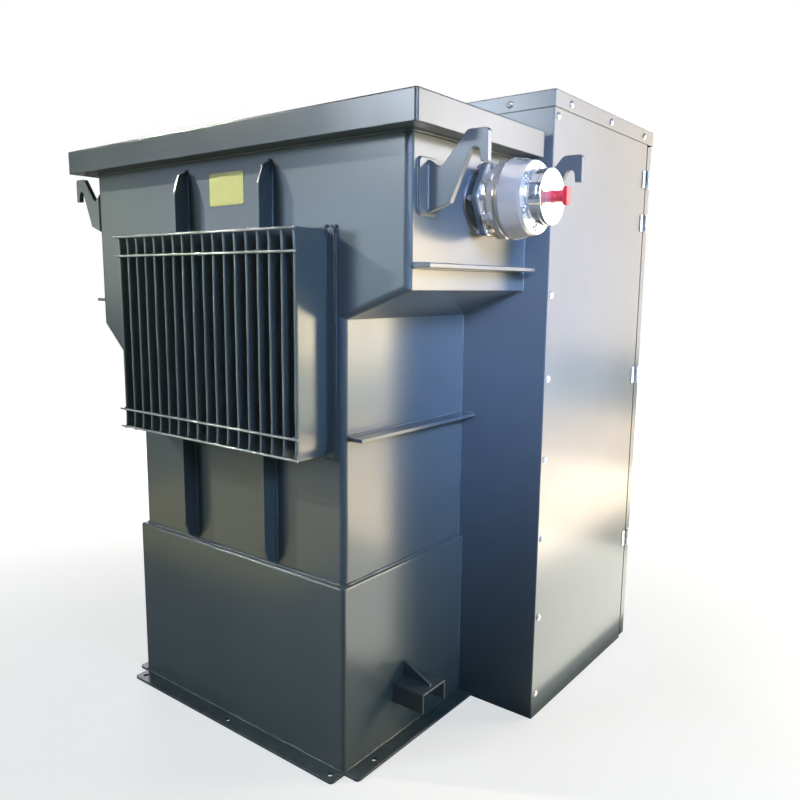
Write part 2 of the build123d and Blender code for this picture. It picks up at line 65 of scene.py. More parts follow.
# ------------------------------------------------------------------ node helpers
class Mat:
    """A material's node tree with short ways to add nodes."""

    def __init__(self, name):
        self.mat = bpy.data.materials.new(name)
        self.mat.use_nodes = True
        self.t = self.mat.node_tree
        self.t.nodes.clear()
        self.out = self.t.nodes.new("ShaderNodeOutputMaterial")
        self.b = self.t.nodes.new("ShaderNodeBsdfPrincipled")
        self.t.links.new(self.b.outputs["BSDF"], self.out.inputs["Surface"])
        self.coord = self.t.nodes.new("ShaderNodeTexCoord").outputs["Object"]
        self.geo = self.t.nodes.new("ShaderNodeNewGeometry")

    def link(self, a, b):
        self.t.links.new(a, b)

    def noise(self, scale, detail=2.0, rough=0.5, vector=None, distortion=0.0):
        n = self.t.nodes.new("ShaderNodeTexNoise")
        n.inputs["Scale"].default_value = scale
        n.inputs["Detail"].default_value = detail
        n.inputs["Roughness"].default_value = rough
        n.inputs["Distortion"].default_value = distortion
        self.link(vector or self.coord, n.inputs["Vector"])
        return n.outputs["Fac"]

    def voronoi(self, scale, output="Color", vector=None, feature="F1"):
        n = self.t.nodes.new("ShaderNodeTexVoronoi")
        n.feature = feature
        n.inputs["Scale"].default_value = scale
        self.link(vector or self.coord, n.inputs["Vector"])
        return n.outputs[output]

    def stretch(self, x, y, z):
        n = self.t.nodes.new("ShaderNodeMapping")
        n.inputs["Scale"].default_value = (x, y, z)
        self.link(self.coord, n.inputs["Vector"])
        return n.outputs["Vector"]

    def range(self, value, a, b, c, d, smooth=False):
        n = self.t.nodes.new("ShaderNodeMapRange")
        n.interpolation_type = "SMOOTHSTEP" if smooth else "LINEAR"
        self.link(value, n.inputs["Value"])
        for k, x in zip(("From Min", "From Max", "To Min", "To Max"), (a, b, c, d)):
            n.inputs[k].default_value = x
        return n.outputs["Result"]

    def math(self, op, a, b=None):
        n = self.t.nodes.new("ShaderNodeMath")
        n.operation = op
        for i, x in enumerate((a, b)):
            if x is None:
                continue
            if isinstance(x, (int, float)):
                n.inputs[i].default_value = x
            else:
                self.link(x, n.inputs[i])
        return n.outputs[0]

    def mix(self, fac, a, b):
        n = self.t.nodes.new("ShaderNodeMix")
        n.data_type = "RGBA"
        for key, x in ((0, fac), (6, a), (7, b)):
            if isinstance(x, (int, float)):
                n.inputs[key].default_value = x
            elif isinstance(x, tuple):
                n.inputs[key].default_value = x + (1.0,)
            else:
                self.link(x, n.inputs[key])
        return n.outputs[2]

    def bump(self, height, strength, distance, normal=None):
        n = self.t.nodes.new("ShaderNodeBump")
        n.inputs["Strength"].default_value = strength
        n.inputs["Distance"].default_value = distance
        self.link(height, n.inputs["Height"])
        if normal is not None:
            self.link(normal, n.inputs["Normal"])
        return n.outputs["Normal"]

    def bevel(self, radius, samples=4):
        n = self.t.nodes.new("ShaderNodeBevel")
        n.samples = samples
        n.inputs["Radius"].default_value = radius
        return n.outputs["Normal"]

    def dot(self, a, b):
        n = self.t.nodes.new("ShaderNodeVectorMath")
        n.operation = "DOT_PRODUCT"
        self.link(a, n.inputs[0])
        self.link(b, n.inputs[1])
        return n.outputs["Value"]

    def axis(self, vector, i):
        n = self.t.nodes.new("ShaderNodeSeparateXYZ")
        self.link(vector, n.inputs[0])
        return n.outputs[i]

    def set(self, **k):
        for name, x in k.items():
            s = self.b.inputs[name.replace("_", " ")]
            if isinstance(x, (int, float)):
                s.default_value = x
            elif isinstance(x, tuple):
                s.default_value = x + (1.0,)
            else:
                self.link(x, s)
        return self.mat


def paint(name="grey_paint", nose=False, painted_highlight=0.0, deep=0.0):
    """Satin slate-grey enamel on welded sheet: uneven gloss, orange peel, soft dents, a painted highlight along edges
    with a little wear, a little dust.
    With nose, the front edges of the cooler's fins get a painted highlight; the lightening argument brightens the whole
    piece as a painted highlight and deep darkens it as painted shade."""
    m = Mat(name)
    cloud = m.noise(1.6, 4.0, 0.55)
    fine = m.noise(14.0, 5.0, 0.6)
    speck = m.noise(150.0, 2.0)
    col = m.mix(m.range(cloud, 0.32, 0.68, 0.0, 1.0), (0.086, 0.102, 0.106), (0.100, 0.118, 0.122))
    col = m.mix(m.range(speck, 0.45, 0.9, 0.0, 0.06), col, (0.135, 0.148, 0.150))
    # painted shade: the whole piece is mixed toward a near-black slate, standing in for the shade on it
    if deep:
        col = m.mix(m.range(cloud, 0.32, 0.68, 0.9 * deep, deep), col, (0.018, 0.028, 0.034))
    edge_n = m.bevel(0.0030, 4)
    edge = m.range(m.dot(edge_n, m.geo.outputs["Normal"]), 0.985, 0.80, 0.0, 1.0)
    # painted highlight along sharp edges: edges are mixed toward a lighter grey, broken up by noise like light wear
    worn_edge_highlight = m.math("MULTIPLY", edge, m.range(fine, 0.45, 0.68, 0.0, 0.55))
    col = m.mix(worn_edge_highlight, col, (0.20, 0.215, 0.215))
    up = m.range(m.axis(m.geo.outputs["Normal"], 2), 0.6, 0.97, 0.0, 1.0)
    dust = m.math("MULTIPLY", up, m.range(fine, 0.42, 0.74, 0.0, 0.22))
    col = m.mix(dust, col, (0.22, 0.225, 0.215))
    # painted highlight: the fins' front edges are mixed toward a lighter grey, standing in for the light they catch
    if nose:
        front = m.range(m.axis(m.coord, 1), -0.4165, -0.4200, 0.0, 1.0, True)
        col = m.mix(m.math("MULTIPLY", front, m.range(fine, 0.25, 0.7, 0.55, 0.95)), col, (0.27, 0.285, 0.275))
    # painted highlight: the whole piece is mixed toward a light grey, standing in for light falling on it
    if painted_highlight:
        col = m.mix(m.range(fine, 0.3, 0.7, 0.6 * painted_highlight, painted_highlight), col, (0.46, 0.47, 0.46))
    foot = m.range(m.axis(m.geo.outputs["Position"], 2), 0.0, 0.12, 0.22, 0.0, True)
    foot = m.math("MULTIPLY", foot, m.range(fine, 0.42, 0.70, 0.0, 1.0))
    col = m.mix(foot, col, (0.16, 0.16, 0.145))
    rough = m.range(m.noise(6.0, 5.0, 0.6), 0.3, 0.7, 0.20, 0.25)
    rough = m.math("ADD", rough, m.math("MULTIPLY", m.math("ADD", dust, foot), 0.06))
    n = m.bump(m.noise(2.0, 1.0), 0.4, 0.0016, edge_n)
    n = m.bump(m.noise(210.0, 1.0), 0.05, 0.0003, n)
    return m.set(Base_Color=col, Roughness=rough, IOR=1.5, Normal=n)


def polished():
    """Turned and polished stainless steel with faint turning lines and finger marks."""
    m = Mat("polished_steel")
    smear = m.noise(22.0, 4.0, 0.6)
    lines = m.noise(1.0, 2.0, 0.5, m.stretch(900.0, 14.0, 14.0))
    col = m.mix(m.range(smear, 0.35, 0.7, 0.0, 1.0), (0.86, 0.85, 0.83), (0.76, 0.76, 0.755))
    rough = m.math("ADD", m.range(smear, 0.35, 0.72, 0.06, 0.12), m.range(lines, 0.3, 0.7, 0.0, 0.03))
    n = m.bump(lines, 0.04, 0.0002, m.bevel(0.0015, 4))
    return m.set(Base_Color=col, Metallic=0.88, Roughness=rough, Normal=n)


def satin():
    """Drawn stainless steel, brighter and less sharp than the polished cap, with draw lines round the drum."""
    m = Mat("satin_steel")
    smear = m.noise(16.0, 4.0, 0.6)
    lines = m.noise(1.0, 2.0, 0.5, m.stretch(420.0, 10.0, 10.0))
    col = m.mix(m.range(smear, 0.35, 0.7, 0.0, 1.0), (0.90, 0.82, 0.70), (0.80, 0.73, 0.62))
    rough = m.math("ADD", m.range(smear, 0.35, 0.72, 0.09, 0.15), m.range(lines, 0.3, 0.7, 0.0, 0.04))
    n = m.bump(lines, 0.06, 0.0003, m.bevel(0.0015, 4))
    return m.set(Base_Color=col, Metallic=0.66, Roughness=rough, Normal=n)


def zinc(name, tone):
    """Zinc-plated steel: patchy, with tiny scratches."""
    m = Mat(name)
    patch = m.noise(120.0, 4.0, 0.65)
    scr = m.noise(1.0, 3.0, 0.6, m.stretch(1400.0, 500.0, 90.0))
    a = tuple(tone * x for x in (0.98, 0.99, 1.0))
    b = tuple(0.66 * tone * x for x in (1.0, 0.99, 0.96))
    col = m.mix(m.range(patch, 0.34, 0.70, 0.0, 1.0), a, b)
    rough = m.math("ADD", m.range(patch, 0.3, 0.7, 0.36, 0.50), m.range(scr, 0.4, 0.7, 0.0, 0.1))
    n = m.bump(scr, 0.12, 0.0002, m.bevel(0.0008, 4))
    return m.set(Base_Color=col, Metallic=0.85, Roughness=rough, Normal=n)


def red_plastic():
    m = Mat("red_plastic")
    g = m.noise(60.0, 4.0, 0.6)
    col = m.mix(m.range(g, 0.3, 0.7, 0.0, 1.0), (0.56, 0.020, 0.030), (0.40, 0.012, 0.020))
    n = m.bump(m.noise(900.0, 2.0), 0.10, 0.0003, m.bevel(0.0015, 4))
    return m.set(Base_Color=col, Roughness=m.range(g, 0.3, 0.7, 0.29, 0.42), IOR=1.48, Normal=n)


def yellow_plate():
    m = Mat("yellow_plate")
    g = m.noise(24.0, 5.0, 0.6)
    s = m.noise(1.0, 2.0, 0.5, m.stretch(40.0, 40.0, 600.0))
    col = m.mix(m.range(g, 0.3, 0.7, 0.0, 1.0), (0.455, 0.45, 0.096), (0.415, 0.405, 0.080))
    col = m.mix(m.range(s, 0.62, 0.78, 0.0, 0.35), col, (0.45, 0.45, 0.20))
    n = m.bump(m.noise(500.0, 2.0), 0.08, 0.0003, m.bevel(0.0008, 4))
    return m.set(Base_Color=col, Roughness=m.range(g, 0.3, 0.7, 0.30, 0.46), Normal=n)


def gasket():
    m = Mat("black_rubber")
    g = m.noise(180.0, 4.0, 0.6)
    col = m.mix(m.range(g, 0.3, 0.7, 0.0, 1.0), (0.012, 0.012, 0.013), (0.026, 0.026, 0.027))
    n = m.bump(g, 0.2, 0.0004)
    return m.set(Base_Color=col, Roughness=m.range(g, 0.3, 0.7, 0.5, 0.72), Normal=n)


def floor_mat():
    """Pale, matt floor that runs out into the white of the studio."""
    m = Mat("pale_floor")
    g = m.noise(1.1, 4.0, 0.5)
    seen = m.t.nodes.new("ShaderNodeLightPath").outputs["Is Camera Ray"]
    col = m.mix(m.range(g, 0.3, 0.7, 0.0, 1.0), (0.56, 0.53, 0.49), (0.60, 0.57, 0.53))
    col = m.mix(seen, (0.34, 0.35, 0.36), col)
    far = m.t.nodes.new("ShaderNodeVectorMath")
    far.operation = "LENGTH"
    m.link(m.coord, far.inputs[0])
    glow = m.math("MULTIPLY", m.range(far.outputs["Value"], 0.8, 4.0, 0.60, 1.0, True), seen)
    m.b.inputs["Emission Color"].default_value = (1.0, 1.0, 1.0, 1.0)
    m.link(glow, m.b.inputs["Emission Strength"])
    return m.set(Base_Color=col, Roughness=m.range(g, 0.3, 0.7, 0.62, 0.72), Normal=m.bump(m.noise(90.0, 3.0), 0.04, 0.001))


MATS = {
    "grey_paint": paint(),
    "polished_steel": polished(),
    "hinge_steel": zinc("hinge_steel", 0.62),
    "red_plastic": red_plastic(),
    "yellow_plate": yellow_plate(),
}
SCREW = zinc("screw_zinc", 0.66)
RUBBER = gasket()
SATIN = satin()
# the fins' paint carries a painted highlight on their front edges
FIN_PAINT = paint("fin_paint", nose=True)
# the rods are painted lighter as a painted highlight
ROD_LIT_PAINT = paint("rod_lit_paint", painted_highlight=0.75)
# the lid is given a darker copy of the paint as painted shade
LID_SHADED_PAINT = paint("lid_shaded_paint", deep=0.5)
OWN = {"relief_drum": SATIN, "radiator_rods": ROD_LIT_PAINT, "lid": LID_SHADED_PAINT}

for part in frame["record"]["subparts"]:
    ob = nodes[part["node"]]
    ob.data.materials.clear()
    ob.data.materials.append(OWN.get(part["node"], MATS[part["material_slot"]]))


# ------------------------------------------------------------------ mesh helpers
def unit(v):
    v = np.asarray(v, float)
    return v / np.linalg.norm(v)


def axes_of(axis):
    a = unit(axis)
    t = np.array((0.0, 0.0, 1.0)) if abs(a[2]) < 0.9 else np.array((1.0, 0.0, 0.0))
    x = unit(np.cross(t, a))
    return x, np.cross(a, x), a


class Piece:
    """Collects closed shells, in millimetres, that become one object."""

    def __init__(self):
        self.v, self.f, self.n = [], [], 0

    def add(self, pts, faces):
        pts = np.asarray(pts, float).reshape(-1, 3)
        self.v.append(pts)
        self.f.extend(tuple(i + self.n for i in f) for f in faces)
        self.n += len(pts)

    def make(self, name, mat, body, sharp=38.0):
        me = bpy.data.meshes.new(name)
        me.from_pydata((np.concatenate(self.v) * MM).tolist(), [], self.f)
        bm = bmesh.new()
        bm.from_mesh(me)
        bmesh.ops.recalc_face_normals(bm, faces=bm.faces)
        bm.to_mesh(me)
        bm.free()
        me.shade_smooth()
        me.set_sharp_from_angle(angle=math.radians(sharp))
        me.materials.append(mat)
        ob = bpy.data.objects.new(name, me)
        scene.collection.objects.link(ob)
        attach(ob, body)
        return ob


def lathe(p, profile, origin, axis, n=24):
    """Turned shape: profile is (radius, height along the axis), from one end on the axis to the other."""
    x, y, a = axes_of(axis)
    o = np.asarray(origin, float)
    pts, rows = [], []
    for r, h in profile:
        if r < 1e-6:
            rows.append([len(pts)])
            pts.append(o + a * h)
        else:
            rows.append(list(range(len(pts), len(pts) + n)))
            for k in range(n):
                t = 2 * math.pi * k / n
                pts.append(o + a * h + r * (math.cos(t) * x + math.sin(t) * y))
    faces = []
    for s, e in zip(rows, rows[1:]):
        for k in range(n):
            j = (k + 1) % n
            if len(s) == 1 and len(e) > 1:
                faces.append((s[0], e[k], e[j]))
            elif len(e) == 1 and len(s) > 1:
                faces.append((s[k], e[0], s[j]))
            elif len(s) > 1:
                faces.append((s[k], e[k], e[j], s[j]))
    p.add(pts, faces)


def stack(p, rings):
    """Closed skin through rings of equally many points, capped at both ends."""
    n = len(rings[0])
    faces = [tuple(range(n))[::-1], tuple(range((len(rings) - 1) * n, len(rings) * n))]
    for i in range(len(rings) - 1):
        for k in range(n):
            j = (k + 1) % n
            faces.append((i * n + k, i * n + j, (i + 1) * n + j, (i + 1) * n + k))
    p.add(np.concatenate([np.asarray(r, float) for r in rings]), faces)


def hex_head(p, origin, axis, flats, height, washer=None, turn=0.0):
    """Hexagon bolt head with a chamfered top, on a washer."""
    x, y, a = axes_of(axis)
    o = np.asarray(origin, float)
    if washer:
        r, t = washer
        lathe(p, [(0, -0.4), (r, -0.4), (r, t * 0.7), (r - t * 0.3, t), (0, t)], o, axis, 28)
        o = o + a * t
    rings = []
    for s, h in ((1.0, -0.5), (1.0, height * 0.84), (0.90, height), (0.55, height)):
        ring = []
        for k in range(6):
            t = turn + math.pi / 3 * k
            ring.append(o + a * h + s * flats / math.sqrt(3) * (math.cos(t) * x + math.sin(t) * y))
        rings.append(ring)
    stack(p, rings)


def button_head(p, origin, axis, r, h, washer=0.0):
    """Domed screw head with a socket, on a thin washer."""
    prof = [(0, -0.4)]
    z = 0.0
    if washer:
        prof += [(washer, -0.4), (washer, 1.0), (washer - 0.5, 1.5), (r + 0.1, 1.5)]
        z = 1.5
    else:
        prof += [(r, -0.4)]
    prof += [(r, z + 0.2 * h), (0.93 * r, z + 0.52 * h), (0.76 * r, z + 0.8 * h), (0.52 * r, z + 0.97 * h),
             (0.37 * r, z + h), (0.34 * r, z + 0.45 * h), (0, z + 0.40 * h)]
    lathe(p, prof, origin, axis, 24)


def dome_head(p, origin, axis, r, h):
    """Wide domed screw head with a flanged rim and a small socket."""
    lathe(p, [(0, -0.4), (r, -0.4), (r, 1.1), (0.97 * r, 1.7), (0.86 * r, 2.1), (0.82 * r, 2.6), (0.74 * r, 0.66 * h), (0.58 * r, 0.87 * h),
              (0.38 * r, 0.98 * h), (0.26 * r, h), (0.23 * r, 0.55 * h), (0, 0.5 * h)], origin, axis, 28)


def blob(p, centre, size, seed):
    """Small uneven lump of weld metal."""
    rs = np.random.RandomState(seed)
    n, rows = 8, 5
    prof = []
    for i in range(rows):
        t = math.pi * i / (rows - 1)
        prof.append((math.sin(t), -math.cos(t)))
    pts, idx = [], []
    for r, h in prof:
        if r < 1e-6:
            idx.append([len(pts)])
            pts.append((0, 0, h))
        else:
            idx.append(list(range(len(pts), len(pts) + n)))
            pts += [(r * math.cos(2 * math.pi * k / n), r * math.sin(2 * math.pi * k / n), h) for k in range(n)]
    q = np.asarray(pts) * (1 + 0.16 * rs.randn(len(pts), 1))
    q = q * np.asarray(size) + np.asarray(centre)
    faces = []
    for s, e in zip(idx, idx[1:]):
        for k in range(n):
            j = (k + 1) % n
            if len(s) == 1:
                faces.append((s[0], e[k], e[j]))
            elif len(e) == 1:
                faces.append((s[k], e[0], s[j]))
            else:
                faces.append((s[k], e[k], e[j], s[j]))
    p.add(q, faces)


_bead_seed = [100]


def bead(p, stations, r, closed=False, step=2.4, wander=0.12):
    """Fillet weld along stations (point, u, v): a quarter-round seam in the corner between the faces along u and v,
    with the ripples of its runs."""
    st = list(stations) + ([stations[0]] if closed else [])
    P, U, V = (np.array([s[i] for s in st], float) for i in range(3))
    seg = np.linalg.norm(np.diff(P, axis=0), axis=1)
    s = np.concatenate([[0.0], np.cumsum(seg)])
    n = max(5, int(round(s[-1] / step)))
    t = np.linspace(0, s[-1], n + 1)
    if closed:
        t = t[:-1]
    pick = lambda A: np.stack([np.interp(t, s, A[:, i]) for i in range(3)], 1)
    p0, u, v = pick(P), pick(U), pick(V)
    u /= np.linalg.norm(u, axis=1, keepdims=True)
    v /= np.linalg.norm(v, axis=1, keepdims=True)
    _bead_seed[0] += 1
    rs = np.random.RandomState(_bead_seed[0])
    k = max(3, int(s[-1] / 28.0))
    knots = np.linspace(0, s[-1], k + 1)
    slow, slow2 = (np.interp(t, knots, rs.uniform(-1, 1, k + 1)) for _ in range(2))
    if closed:
        fade = np.clip(np.minimum(t, s[-1] - t) / 30.0, 0, 1)
        slow, slow2 = slow * fade, slow2 * fade
    ripple = 0.075 * np.sin(2 * np.pi * t / 7.2 + 1.5 * slow2) + 0.03 * rs.randn(len(t))
    rr = r * (1 + ripple + wander * slow)
    if not closed:
        rr = rr * np.sqrt(np.clip(np.minimum(t, s[-1] - t) / (1.3 * r), 0.16, 1))
    rings = []
    ang = np.radians(np.linspace(-5, 95, 6))
    skew = 1 + 0.10 * slow2
    for a in ang:
        rings.append(p0 + (rr * math.cos(a) * skew)[:, None] * u + (rr * math.sin(a) / skew)[:, None] * v)
    rings.append(p0 - 0.28 * r * (u + v))
    K, N = len(rings), len(t)
    pts = np.stack(rings, 1).reshape(-1, 3)
    faces = []
    for i in range(N if closed else N - 1):
        i2 = (i + 1) % N
        for q in range(K):
            q2 = (q + 1) % K
            faces.append((i * K + q, i * K + q2, i2 * K + q2, i2 * K + q))
    if not closed:
        faces.append(tuple(range(K))[::-1])
        faces.append(tuple(range((N - 1) * K, N * K)))
    p.add(pts, faces)


def line(a, b, u, v):
    return [(a, u, v), (b, u, v)]


def round_walls(x, xl, y_front, y_back, r, z, up):
    """Stations along the right, front and left walls of a tank with rounded front corners."""
    v = (0, 0, up)
    st = [((x, y_back, z), (1, 0, 0), v)]
    for k in range(9):
        t = math.radians(-90 * k / 8)
        d = (math.cos(t), math.sin(t), 0)
        st.append(((x - r + r * d[0], y_front + r + r * d[1], z), d, v))
    for k in range(9):
        t = math.radians(-90 - 90 * k / 8)
        d = (math.cos(t), math.sin(t), 0)
        st.append(((-xl + r + r * d[0], y_front + r + r * d[1], z), d, v))
    st.append(((-xl, y_back, z), (-1, 0, 0), v))
    return st


def round_rect(c, ea, eb, w, h, r, v):
    """Closed stations round a rounded rectangle centred at c in the plane of ea and eb."""
    c, ea, eb = (np.asarray(q, float) for q in (c, ea, eb))
    st = []
    for sx, sy, t0 in ((1, 1, 0), (-1, 1, 90), (-1, -1, 180), (1, -1, 270)):
        for k in range(6):
            t = math.radians(t0 + 90 * k / 5)
            d = math.cos(t) * ea + math.sin(t) * eb
            st.append((tuple(c + sx * (w / 2 - r) * ea + sy * (h / 2 - r) * eb + r * d), tuple(d), v))
    return st


# ------------------------------------------------------------------ welds of the tank
seams = Piece()
bead(seams, round_walls(LOW_X, LOW_XL, LOW_FRONT_Y, Y_PLATE - 3, 12, 8, 1), 5.0)
bead(seams, round_walls(MID_X, MID_XL, Y_FRONT, Y_PLATE - 3, 18, LOW_TOP, 1), 5.5, wander=0.30)
bead(seams, round_walls(UP_X, UP_XL, Y_FRONT, 268, 18, RIM_Z, -1), 5.0)
for side, low, mid, top, (f0, f1) in ((1, LOW_X, MID_X, UP_X, FLARE_R), (-1, LOW_XL, MID_XL, UP_XL, FLARE_L)):
    k = math.hypot(top - mid, f1 - f0)
    n_slope = (side * (f1 - f0) / k, 0, -(top - mid) / k)
    out = (side, 0, 0)
    back = (0, -1, 0)
    path = [((side * low, Y_PLATE, 12), out, back), ((side * low, Y_PLATE, LOW_TOP - 8), out, back),
            ((side * (low - 2.4), Y_PLATE, LOW_TOP - 2.4), unit((side, 0, 1)), back),
            ((side * (low - 8), Y_PLATE, LOW_TOP), (0, 0, 1), back)]
    bead(seams, path, 5.0)
    path = [((side * mid, Y_PLATE, LOW_TOP + 3), out, back), ((side * mid, Y_PLATE, f0 - 6), out, back),
            ((side * mid, Y_PLATE, f0), unit(np.array(out) + n_slope), back)]
    path += [((side * (mid + 6), Y_PLATE, f0 + 6 * (f1 - f0) / (top - mid)), n_slope, back),
             ((side * (top - 6), Y_PLATE, f1 - 6 * (f1 - f0) / (top - mid)), n_slope, back),
             ((side * top, Y_PLATE, f1), unit(np.array(out) + n_slope), back),
             ((side * top, Y_PLATE, f1 + 6), out, back), ((side * top, Y_PLATE, 1872), out, back)]
    bead(seams, path, 5.0)
seams.make("weld_tank_seams", MATS["grey_paint"], "housing")

fit = Piece()
for cx in (-RIB_X, RIB_X):
    for s in (-1, 1):
        for z0, z1 in ((588, 942), (1580, 1766)):
            bead(fit, line((cx + s * RIB_T / 2, Y_FRONT, z0), (cx + s * RIB_T / 2, Y_FRONT, z1), (s, 0, 0), (0, -1, 0)), 6.2)
    bead(fit, line((cx - 7, Y_FRONT, 1769), (cx + 7, Y_FRONT, 1769), (0, 0, 1), (0, -1, 0)), 7.0)
    bead(fit, line((cx - 7, Y_FRONT, 585), (cx + 7, Y_FRONT, 585), (0, 0, -1), (0, -1, 0)), 7.0)
    for k, (dz, w) in enumerate(((1771, 6.5), (583, 6.0))):
        blob(fit, (cx + 1.5, Y_FRONT - 3.0, dz), (w, 5.5, w), 1200 + k + int(cx))
for x0, zc, s, w, y1 in ((UP_X, 1475, 1, 56, 268), (UP_XL, 1366, -1, 53, 268), (MID_X, 1002, 1, 56, Y_PLATE), (MID_XL, 1002, -1, 56, Y_PLATE)):
    for d in (1, -1):
        z = zc + 5 * d
        bead(fit, line((s * x0, -283, z), (s * x0, y1 - 2, z), (0, 0, d), (s, 0, 0)), 4.6)
        if y1 == Y_PLATE:
            bead(fit, line((s * (x0 + 3), y1, z), (s * (x0 + w - 2), y1, z), (0, 0, d), (0, -1, 0)), 4.6)
    bead(fit, line((s * x0, -285, zc - 6), (s * x0, -285, zc + 6), (0, -1, 0), (s, 0, 0)), 4.6)
for s, low, top, y_hook, y_pad in ((1, LOW_X, UP_X, -232, -224), (-1, LOW_XL, UP_XL, -286, -243)):
    for cy, w, r in ((y_pad, 86, 14), (266, 54, 10)):
        bead(fit, round_rect((s * top, cy, 1672), (0, 1, 0), (0, 0, 1), w, 138, r, (s, 0, 0)), 3.6, closed=True)
    for y, d, up in ((y_hook, -1, 0), (y_hook + 16, 1, 0), (277, -1, 5)):
        bead(fit, line((s * (top + 8), y, 1609 + up), (s * (top + 8), y, 1733 + up), (0, d, 0), (s, 0, 0)), 5.0)
    x = s * low
    for y0, y1 in ((-86, -34), (-21, 31)):
        bead(fit, line((x, y0, 195), (x, y1, 195), (0, 0, 1), (s, 0, 0)), 4.2)
    for y, d in ((-88, -1), (33, 1)):
        bead(fit, line((x, y, 135), (x, y, 191), (0, d, 0), (s, 0, 0)), 4.2)
    for y, d in ((-32.5, -1), (-22.5, 1)):
        bead(fit, line((x, y, 197), (x, y, 244), (0, d, 0), (s, 0, 0)), 4.2)
        bead(fit, line((s * (low + 3), y, 195), (s * (low + 105), y, 195), (0, d, 0), (0, 0, 1)), 4.2)
ring = []
for k in range(64):
    t = 2 * math.pi * k / 64
    d = (0, math.cos(t), math.sin(t))
    ring.append(((UP_X, PRD_Y + 80 * d[1], PRD_Z + 80 * d[2]), d, (1, 0, 0)))
bead(fit, ring, 6.0, closed=True)
fit.make("weld_fittings", MATS["grey_paint"], "housing")

# ------------------------------------------------------------------ cooler: fins, their dabs of weld, edge weld of the panel
fins = Piece()
rs = np.random.RandomState(11)
DEPTH = FIN_ROOT_Y - FIN_NOSE_Y
zs = np.concatenate([[0, 1.5, 3.5, 6.5, 10, 14, 18, 23, 28, 34], np.linspace(44, FIN_Z1 - FIN_Z0 - 44, 30),
                     FIN_Z1 - FIN_Z0 - np.array([34, 28, 23, 18, 14, 10, 6.5, 3.5, 1.5, 0])])
H = FIN_Z1 - FIN_Z0
for i in range(FIN_N):
    cx = FIN_X0 + i * FIN_PITCH
    a1, a2, a3 = rs.uniform(0.3, 1.0), rs.uniform(0.2, 0.6), rs.uniform(-0.8, 0.8)
    p1, p2 = rs.uniform(0, 6.28, 2)
    rings = []
    for z in zs:
        e = min(z, H - z)
        q = min(1.0, e / 26.0)
        q = q * q * (3 - 2 * q)
        lean = max(0.0, 1.0 - e / 42.0)
        lean = lean * lean * (3 - 2 * lean)
        half = 1.6 + (FIN_T / 2 - 1.6) * q
        back = 7.0 * (1 - math.sqrt(max(0.0, 1 - (1 - min(1.0, e / 7.0)) ** 2)))
        bow = a1 * math.sin(math.pi * z / H * 1.5 + p1) + a2 * math.sin(2 * math.pi * z / H * 3 + p2)
        nose = DEPTH - back
        prof = []
        for d in (0.0, 26.0, 52.0, 78.0, nose - half - 6, nose - half):
            prof.append((-half, d))
        for t in (-60, -30, 0, 30, 60):
            t = math.radians(t)
            prof.append((half * math.sin(t), nose - half + half * math.cos(t)))
        for d in (nose - half, nose - half - 6, 78.0, 52.0, 26.0, 0.0):
            prof.append((half, d))
        ring = []
        for x, d in prof:
            share = d / DEPTH
            swell = 1 + 0.07 * math.sin(math.pi * share) * q
            ring.append((cx + x * swell + share * (bow + a3) - 2.9 * lean, FIN_ROOT_Y - d, FIN_Z0 + z))
        rings.append(ring)
    stack(fins, rings)
fin_ob = fins.make("cooler_fins", FIN_PAINT, "housing", 50)
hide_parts("radiator_fins")

dabs = Piece()
sd = 500
for i in range(FIN_N):
    cx = FIN_X0 + i * FIN_PITCH
    for z in ROD_Z:
        for s in (-1, 1):
            sd += 1
            r = np.random.RandomState(sd)
            dabs_c = (cx + s * r.uniform(3.0, 5.5), FIN_NOSE_Y - r.uniform(0.0, 1.2), z + r.uniform(-2.5, 2.5))
            blob(dabs, dabs_c, (r.uniform(3.5, 5.0), r.uniform(3.0, 4.0), r.uniform(4.5, 6.5)), sd)
x0, x1, z0, z1 = PANEL
bead(dabs, round_rect(((x0 + x1) / 2, Y_FRONT, (z0 + z1) / 2), (1, 0, 0), (0, 0, 1), x1 - x0, z1 - z0, 5, (0, -1, 0)),
     3.0, closed=True, wander=0.2)
for k, (x, z, w) in enumerate(((441, 1580, 7), (433, 1580, 5), (443, 1569, 5), (410, 1580, 6), (-419, 1578, 6), (442, 941, 7), (410, 943, 5), (-419, 943, 6))):
    blob(dabs, (x, -300, z), (w, 6.0, w), 900 + k)
dabs.make("cooler_welds", MATS["grey_paint"], "housing")

# folded border of the cooler's panel: a rounded bar along each side, and a second one beside the last fin
border = Piece()
for cx, half, deep, z0, z1 in ((409.5, 1.6, 5.0, 944.0, 1582.0), (438.2, 1.8, 5.0, 938.0, 1584.0), (-418.5, 1.8, 5.0, 942.0, 1582.0)):
    rings = []
    for z, g in ((z0, 0.55), (z0 + 1.2, 0.85), (z0 + 3.5, 1.0), (z1 - 3.5, 1.0), (z1 - 1.2, 0.85), (z1, 0.55)):
        ring = []
        for t in range(0, 181, 20):
            t = math.radians(t)
            ring.append((cx + g * half * math.cos(t), FIN_ROOT_Y + 1.0 - g * (deep - 3.0) * math.sin(t) - 1.0, z))
        ring += [(cx - g * half, FIN_ROOT_Y + 3.0, z), (cx + g * half, FIN_ROOT_Y + 3.0, z)]
        rings.append(ring)
    stack(border, rings)
border.make("cooler_border", MATS["grey_paint"], "housing")

# ------------------------------------------------------------------ relief device
AX = np.array((1.0, 0.0, 0.0))


def at(r, deg, x):
    t = math.radians(deg)
    return (UP_X + x, PRD_Y + r * math.cos(t), PRD_Z + r * math.sin(t))


def hexagon(corner, flat, n=120):
    """Hexagon with cut corners, two of them toward +Y and -Y: (angle in degrees, radius)."""
    out = []
    for k in range(n):
        t = 360.0 * k / n
        out.append((t, min(corner, flat / math.cos(math.radians(t % 60.0 - 30.0)))))
    return out


